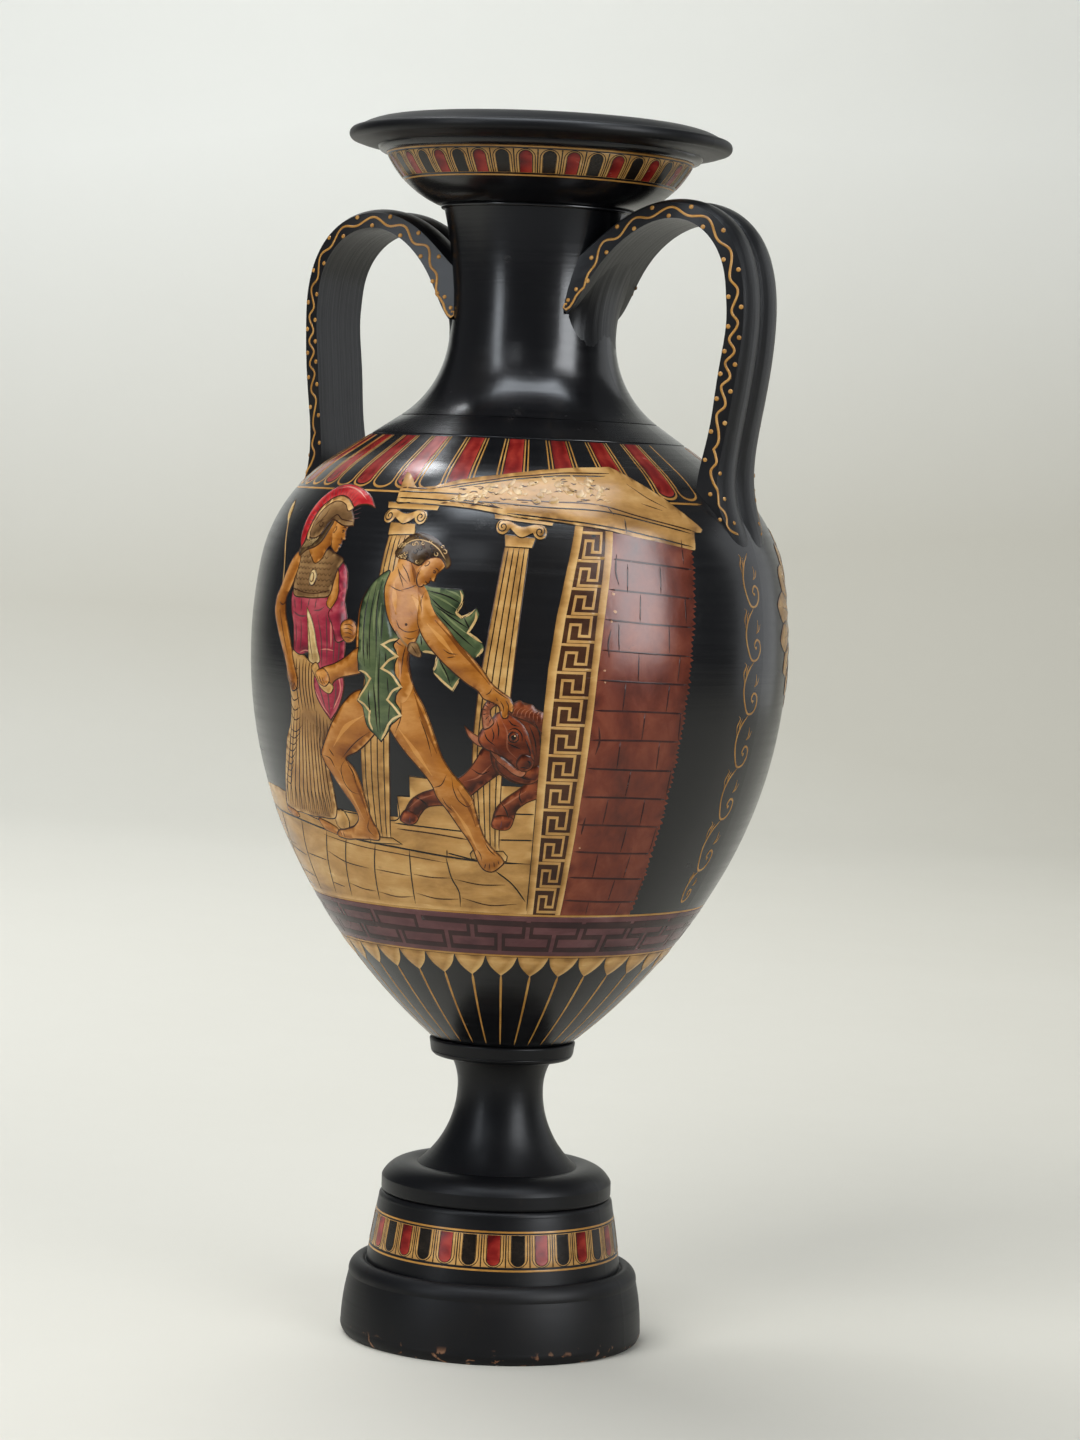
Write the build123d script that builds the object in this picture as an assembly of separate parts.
from build123d import *
import os
from math import cos, radians, sin

# A pedestal amphora of fired clay, standing on the plane Z = 0 with its axis on Z.
# Every turned section is drawn in the half-plane of (radius, height) and revolved.
# The two strap handles stand in the plane Y = 0, one on +X and one on -X.
# All sizes are in millimetres.

# Wall thicknesses
BODY_WALL = 7.0
NECK_WALL = 6.5

# Plinth, the flared block that the vase stands on
PLINTH_FOOT_R = 60.4
PLINTH_WIDEST = (62.6, 5.0)
PLINTH_SHOULDER = (60.0, 25.0)
PLINTH_CROWN = (56.2, 31.3)
PLINTH_TOP_Z = 30.4
STAND_BORE_R = 44.4
STAND_MOUTH_R = 52.4

# Drum, the drum-shaped course above the plinth
DRUM_FOOT_R = 53.0
DRUM_TOP_R = 48.6
DRUM_ROUNDING = 2.4
DRUM_TOP_Z = 60.0
REGISTER_R = 47.5
REGISTER_HEIGHT = 2.0

# Foot disc and stem
DISC_R = 47.8
DISC_RIM_Z = 66.0
DISC_CREASE = (33.2, 71.8)
DISC_BORE_R = 38.4
WAIST = (17.8, 104.3)
STEM_TOP_Z = 117.0
STEM_TOP_R = 21.4
STEM_BORE_R = 9.0
STEM_MOUTH_R = 18.0
STEM_SEAT_DEPTH = 3.0
STEM_BORE_TOP_Z = 108.0

# Collar ring under the belly
COLLAR_R = 30.3
COLLAR_TOP_Z = 124.4

# Belly: tangent arcs that run up the outside, each as (radius, heading at its end).
# A heading is in degrees from the outward radius towards +Z; a negative radius is hollow.
BELLY_START = (28.24, 123.83)
BELLY_HEADING = 39.3
BOWL_ARCS = [(241.7, 58.0)]
BELLY_ARCS = [(241.7, 61.6), (191.4, 100.0), (64.3, 128.4)]
SHOULDER_ARCS = [(64.3, 145.8)]
SHOULDER_SLOPE = 33.3
NECK_ARCS = [(-43.2, 96.3), (-148.2, 75.2)]

# Mouth and lip
RING_R = 40.0
RING_HEIGHT = 1.6
ECHINUS_FOOT_R = 41.8
ECHINUS_MIDDLE = (54.9, 476.6)
ECHINUS_TOP = (63.2, 488.2)
MOULDING = (66.8, 490.8)
LIP_UNDER = (76.4, 492.6)
LIP_WIDEST = (78.7, 495.1)
LIP_CREASE = (75.6, 497.8)
LIP_TOP = (63.5, 502.0)
MOUTH_INSIDE = (57.0, 498.0)
MOUTH_JOINT_WIDTH = 11.4

# Handles: the strap's section, and its stations from the neck over the top to the shoulder.
# A station is (reach from the axis, height, heading of the strap, width scale, thickness scale).
# The handles are hand-built: the right one stands a little higher and wider than the left.
STRAP_INNER_WIDTH = 36.4
STRAP_OUTER_WIDTH = 32.0
STRAP_THICKNESS = 8.6
RIDGE_HEIGHT = 2.0
RIDGES = 2
HANDLE_STATIONS = [
    (20.0, 428.0, 54.0, 1.25, 2.1),
    (32.0, 443.0, 49.0, 1.16, 1.6),
    (46.0, 456.6, 37.0, 1.04, 1.15),
    (62.0, 464.6, 12.0, 1.0, 1.0),
    (79.3, 462.8, -30.0, 1.0, 1.0),
    (92.4, 450.0, -60.0, 1.0, 1.0),
    (97.2, 431.0, -83.0, 1.0, 1.0),
    (96.9, 412.0, -94.0, 1.0, 1.0),
    (94.9, 390.0, -96.0, 1.0, 1.0),
    (92.8, 371.0, -94.0, 1.02, 1.0),
    (92.6, 355.0, -82.0, 1.12, 1.2),
    (96.8, 342.0, -68.0, 1.06, 1.0),
    (102.0, 329.0, -64.0, 0.62, 0.5),
]
HANDLE_FOOT_Z = 355.0
HANDLE_TOP_Z = 465.0
HANDLE_ROOT_REACH = 40.0
HANDLE_OUT_REACH = 80.0
# The handles as (side, extra rise at the top, extra reach of the outer run)
HANDLES = {"handle_right": (1, 2.0, 2.6), "handle_left": (-1, -2.8, 0.0)}

# Incised lines: the radius of the line itself and where it runs
SHOULDER_LINE_R = 0.45
LINE_BELOW_NECK = 14.0
NECK_LINE_R = 0.6
COLLAR_LINE = (29.7, 119.2)
COLLAR_LINE_R = 0.35

os.makedirs("parts", exist_ok=True)


def turned(edges):
    """The solid of revolution about Z of the closed outline that the edges make."""
    return revolve(make_face(Wire(edges)), axis=Axis.Z)


def at(point):
    """A point of the half-plane of (radius, height)."""
    return Vector(point[0], 0, point[1])


def line(*points):
    """Straight edges from point to point."""
    places = [at(p) for p in points]
    return [Edge.make_line(a, b) for a, b in zip(places, places[1:])]


def arc(start, middle, end):
    """A circular edge through three points."""
    return [Edge.make_three_point_arc(at(start), at(middle), at(end))]


def run_arcs(start, heading, arcs):
    """Follow tangent arcs; returns their edges, the end point and the end heading."""
    edges = []
    point = start
    for radius, end_heading in arcs:
        middle_heading = (heading + end_heading) / 2
        stops = []
        for h in (middle_heading, end_heading):
            across = radius * (sin(radians(h)) - sin(radians(heading)))
            up = radius * (cos(radians(heading)) - cos(radians(h)))
            stops.append((point[0] + across, point[1] + up))
        edges += arc(point, *stops)
        point = stops[1]
        heading = end_heading
    return edges, point, heading


def inside(point, heading, wall):
    """The point one wall thickness inside an outside point with that heading."""
    return (point[0] - wall * sin(radians(heading)), point[1] + wall * cos(radians(heading)))


def thinner(arcs, wall):
    """The arcs of the inner face, parallel to the outer ones."""
    return [(radius - wall, heading) for radius, heading in arcs]


def groove(point, radius):
    """A fine round line cut into a turned surface at an outside point."""
    ring = Pos(point[0], 0, point[1]) * Rot(90, 0, 0) * Circle(radius)
    return revolve(ring, axis=Axis.Z)


def make_plinth():
    """Flared block, hollow underneath, with a low register for the drum on top."""
    top = PLINTH_TOP_Z + REGISTER_HEIGHT
    seat_edge = (DRUM_FOOT_R + 0.4, PLINTH_TOP_Z)
    edges = line((STAND_MOUTH_R, 0), (PLINTH_FOOT_R, 0))
    edges += arc((PLINTH_FOOT_R, 0), (62.0, 1.6), PLINTH_WIDEST)
    edges += arc(PLINTH_WIDEST, (61.8, 15.5), PLINTH_SHOULDER)
    edges += arc(PLINTH_SHOULDER, (58.9, 29.3), PLINTH_CROWN)
    edges += arc(PLINTH_CROWN, (54.6, 31.2), seat_edge)
    edges += line(seat_edge, (REGISTER_R, PLINTH_TOP_Z), (REGISTER_R, top), (STAND_BORE_R, top))
    edges += arc((STAND_BORE_R, top), (46.9, 14.0), (STAND_MOUTH_R, 0))
    return turned(edges)


def make_drum():
    """Tapered course on the plinth, with a rounded top edge."""
    seat = PLINTH_TOP_Z + REGISTER_HEIGHT
    corner = (DRUM_TOP_R, DRUM_TOP_Z - DRUM_ROUNDING)
    top_edge = (DRUM_TOP_R - DRUM_ROUNDING, DRUM_TOP_Z)
    bend = DRUM_ROUNDING * (1 - cos(radians(45)))
    edges = line((REGISTER_R, PLINTH_TOP_Z), (DRUM_FOOT_R, PLINTH_TOP_Z))
    edges += arc((DRUM_FOOT_R, PLINTH_TOP_Z), (50.8, 45.0), corner)
    edges += arc(corner, (DRUM_TOP_R - bend, DRUM_TOP_Z - bend), top_edge)
    edges += line(top_edge, (DISC_BORE_R, DRUM_TOP_Z), (STAND_BORE_R, seat))
    edges += line((STAND_BORE_R, seat), (REGISTER_R, seat), (REGISTER_R, PLINTH_TOP_Z))
    return turned(edges)


def make_foot_disc():
    """Disc with a rounded top that swells up to the crease round the stem."""
    seat = DISC_CREASE[1] - STEM_SEAT_DEPTH
    foot = (DISC_R - 0.9, DRUM_TOP_Z)
    rim_low = (DISC_R, DRUM_TOP_Z + 1.2)
    rim_high = (DISC_R, DISC_RIM_Z)
    edges = line((DISC_BORE_R, DRUM_TOP_Z), foot)
    edges += arc(foot, (DISC_R - 0.3, DRUM_TOP_Z + 0.4), rim_low)
    edges += line(rim_low, rim_high)
    edges += arc(rim_high, (44.0, 70.5), DISC_CREASE)
    edges += line(DISC_CREASE, (DISC_CREASE[0], seat), (STEM_MOUTH_R + 3.0, seat))
    edges += line((STEM_MOUTH_R + 3.0, seat), (DISC_BORE_R, DRUM_TOP_Z))
    return turned(edges)


def make_stem():
    """Waisted stem, seated in the foot disc and bored from below."""
    seat = DISC_CREASE[1] - STEM_SEAT_DEPTH
    edges = line((STEM_MOUTH_R, seat), (DISC_CREASE[0], seat), DISC_CREASE)
    edges += arc(DISC_CREASE, (21.8, 86.3), WAIST)
    edges += arc(WAIST, (18.6, 110.6), (STEM_TOP_R, STEM_TOP_Z))
    edges += line((STEM_TOP_R, STEM_TOP_Z), (0, STEM_TOP_Z), (0, STEM_BORE_TOP_Z))
    edges += line((0, STEM_BORE_TOP_Z), (STEM_BORE_R - 3.0, STEM_BORE_TOP_Z))
    edges += arc((STEM_BORE_R - 3.0, STEM_BORE_TOP_Z), (STEM_BORE_R, 90.0), (STEM_MOUTH_R, seat))
    return turned(edges)


def make_collar():
    """Ring between the stem and the belly, with one incised line near its lower edge."""
    underside = (26.5, STEM_TOP_Z)
    side_foot = (29.7, 119.6)
    side_top = (COLLAR_R, COLLAR_TOP_Z - 0.8)
    top_edge = (COLLAR_R - 0.9, COLLAR_TOP_Z)
    edges = line((0, STEM_TOP_Z), underside)
    edges += arc(underside, (28.9, 117.9), side_foot)
    edges += line(side_foot, side_top)
    edges += arc(side_top, (COLLAR_R - 0.3, COLLAR_TOP_Z - 0.2), top_edge)
    edges += line(top_edge, (COLLAR_R - 1.3, COLLAR_TOP_Z), BELLY_START, (0, BELLY_START[1]))
    edges += line((0, BELLY_START[1]), (0, STEM_TOP_Z))
    return turned(edges) - groove(COLLAR_LINE, COLLAR_LINE_R)


def onward(point, heading, distance):
    """The point that far along a heading."""
    return (
        point[0] + distance * cos(radians(heading)),
        point[1] + distance * sin(radians(heading)),
    )


def make_section(start, heading, arcs, wall, slope=0.0):
    """One thrown section of wall, with ends square to the wall, and its end point."""
    outer, end, end_heading = run_arcs(start, heading, arcs)
    inner_start = inside(start, heading, wall)
    inner, inner_end, _ = run_arcs(inner_start, heading, thinner(arcs, wall))
    if slope:
        outer += line(end, onward(end, end_heading, slope))
        inner += line(inner_end, onward(inner_end, end_heading, slope))
        end = onward(end, end_heading, slope)
        inner_end = onward(inner_end, end_heading, slope)
    edges = outer + line(end, inner_end) + inner + line(inner_start, start)
    return turned(edges), end, end_heading


def make_lower_bowl():
    """Bowl that the belly rises from, with a thick rounded floor."""
    outer, end, heading = run_arcs(BELLY_START, BELLY_HEADING, BOWL_ARCS)
    inner_start = inside(BELLY_START, BELLY_HEADING, BODY_WALL)
    inner, inner_end, _ = run_arcs(inner_start, BELLY_HEADING, thinner(BOWL_ARCS, BODY_WALL))
    floor_centre = (0, inner_start[1] - 2.0)
    edges = outer + line(end, inner_end) + inner
    edges += line(inner_start, floor_centre, (0, BELLY_START[1]), BELLY_START)
    return turned(edges), end, heading


def make_belly(start, heading):
    """The widest part of the body, up to the joint at the foot of the shoulder."""
    return make_section(start, heading, BELLY_ARCS, BODY_WALL)


def make_shoulder(start, heading):
    """Shoulder and the slope up to the neck joint, with one incised line on the slope."""
    solid, end, end_heading = make_section(start, heading, SHOULDER_ARCS, BODY_WALL, SHOULDER_SLOPE)
    line_place = onward(end, end_heading, -LINE_BELOW_NECK)
    return solid - groove(line_place, SHOULDER_LINE_R), end, end_heading


def make_neck(start, heading):
    """Waisted neck that flares to the ring under the mouth."""
    solid, end, end_heading = make_section(start, heading, NECK_ARCS, NECK_WALL)
    return solid - groove(start, NECK_LINE_R), end, end_heading


def make_mouth(neck_end, heading):
    """Echinus mouth with a thin ring at its foot and a small moulding at its top."""
    foot = neck_end[1]
    inner_foot = inside(neck_end, heading, NECK_WALL)
    ring_low = (RING_R - 0.6, foot + 0.1)
    ring_high = (RING_R - 0.4, foot + RING_HEIGHT)
    cup_foot = (ECHINUS_FOOT_R, foot + RING_HEIGHT + 0.4)
    edges = line(inner_foot, neck_end, ring_low)
    edges += arc(ring_low, (RING_R, foot + RING_HEIGHT / 2), ring_high)
    edges += line(ring_high, cup_foot)
    edges += arc(cup_foot, ECHINUS_MIDDLE, ECHINUS_TOP)
    edges += arc(ECHINUS_TOP, (65.9, 489.0), MOULDING)
    joint_end = (MOULDING[0] - MOUTH_JOINT_WIDTH, MOULDING[1])
    edges += line(MOULDING, joint_end)
    edges += arc(joint_end, (46.4, 477.0), inner_foot)
    return turned(edges)


def make_lip():
    """Flaring lip: a thick rounded edge, a sloping top and a funnelled inside."""
    joint_end = (MOULDING[0] - MOUTH_JOINT_WIDTH, MOULDING[1])
    edges = line(joint_end, MOULDING)
    edges += arc(MOULDING, (71.6, 491.2), LIP_UNDER)
    edges += arc(LIP_UNDER, LIP_WIDEST, LIP_CREASE)
    edges += arc(LIP_CREASE, (69.9, 500.6), LIP_TOP)
    edges += arc(LIP_TOP, (59.4, 501.0), MOUTH_INSIDE)
    edges += line(MOUTH_INSIDE, joint_end)
    return turned(edges)


def strap_section(place, heading, width, thick):
    """Cross-section of the strap: flat inside, bevelled sides and broad ridges outside."""
    along = Vector(cos(radians(heading)), 0, sin(radians(heading)))
    frame = Plane(origin=at(place), x_dir=(0, 1, 0), z_dir=along)
    inner = STRAP_INNER_WIDTH / 2 * width
    outer = STRAP_OUTER_WIDTH / 2 * width
    low = -STRAP_THICKNESS / 2 * thick
    high = low + (STRAP_THICKNESS - RIDGE_HEIGHT) * thick
    crest = high + RIDGE_HEIGHT * thick
    pitch = 2 * outer / RIDGES
    edges = [Edge.make_line((-inner, low), (inner, low))]
    edges.append(Edge.make_line((inner, low), (outer, high)))
    for count in range(RIDGES):
        left = outer - count * pitch
        right = left - pitch
        edges.append(Edge.make_three_point_arc((left, high), (left - pitch / 2, crest), (right, high)))
    edges.append(Edge.make_line((-outer, high), (-inner, low)))
    return frame * make_face(Wire(edges))


def share(value, low, high):
    """How far a value is from low to high, kept between 0 and 1."""
    return min(max((value - low) / (high - low), 0.0), 1.0)


def make_handle(side, rise, spread, body_core):
    """Strap handle from the neck to the shoulder on one side (+1 or -1), cut to meet the wall."""
    sections = []
    for reach, height, heading, width, thick in HANDLE_STATIONS:
        up = share(height, HANDLE_FOOT_Z, HANDLE_TOP_Z)
        out = share(reach, HANDLE_ROOT_REACH, HANDLE_OUT_REACH) * min(2.0 * up, 1.0)
        place = (reach + spread * out, height + rise * up)
        sections.append(strap_section(place, heading, width, thick))
    handle = loft(sections) - body_core
    strap = sorted(handle.solids(), key=lambda solid: solid.volume)[-1]
    return strap if side > 0 else Rot(0, 0, 180) * strap


def make_body_core(start, heading):
    """Everything inside the outer face of the belly, shoulder and neck, to trim the handles."""
    body, slope_foot, heading = run_arcs(start, heading, BELLY_ARCS + SHOULDER_ARCS)
    slope_top = onward(slope_foot, heading, SHOULDER_SLOPE)
    neck, top, _ = run_arcs(slope_top, heading, NECK_ARCS)
    outer = body + line(slope_foot, slope_top) + neck
    return turned(outer + line(top, (0, top[1]), (0, start[1]), start))


def write(node, solid):
    """Write one sub-part under its node name."""
    solid.label = node
    export_step(solid, "parts/" + node + ".step")


bowl, bowl_end, bowl_heading = make_lower_bowl()
belly, belly_end, belly_heading = make_belly(bowl_end, bowl_heading)
shoulder, shoulder_end, shoulder_heading = make_shoulder(belly_end, belly_heading)
neck, neck_end, neck_heading = make_neck(shoulder_end, shoulder_heading)
core = make_body_core(bowl_end, bowl_heading)

write("plinth", make_plinth())
write("stand_drum", make_drum())
write("foot_disc", make_foot_disc())
write("stem", make_stem())
write("collar_ring", make_collar())
write("lower_bowl", bowl)
write("belly_wall", belly)
write("shoulder", shoulder)
write("neck", neck)
write("mouth_echinus", make_mouth(neck_end, neck_heading))
write("lip", make_lip())
for name, (side, rise, spread) in HANDLES.items():
    write(name, make_handle(side, rise, spread, core))
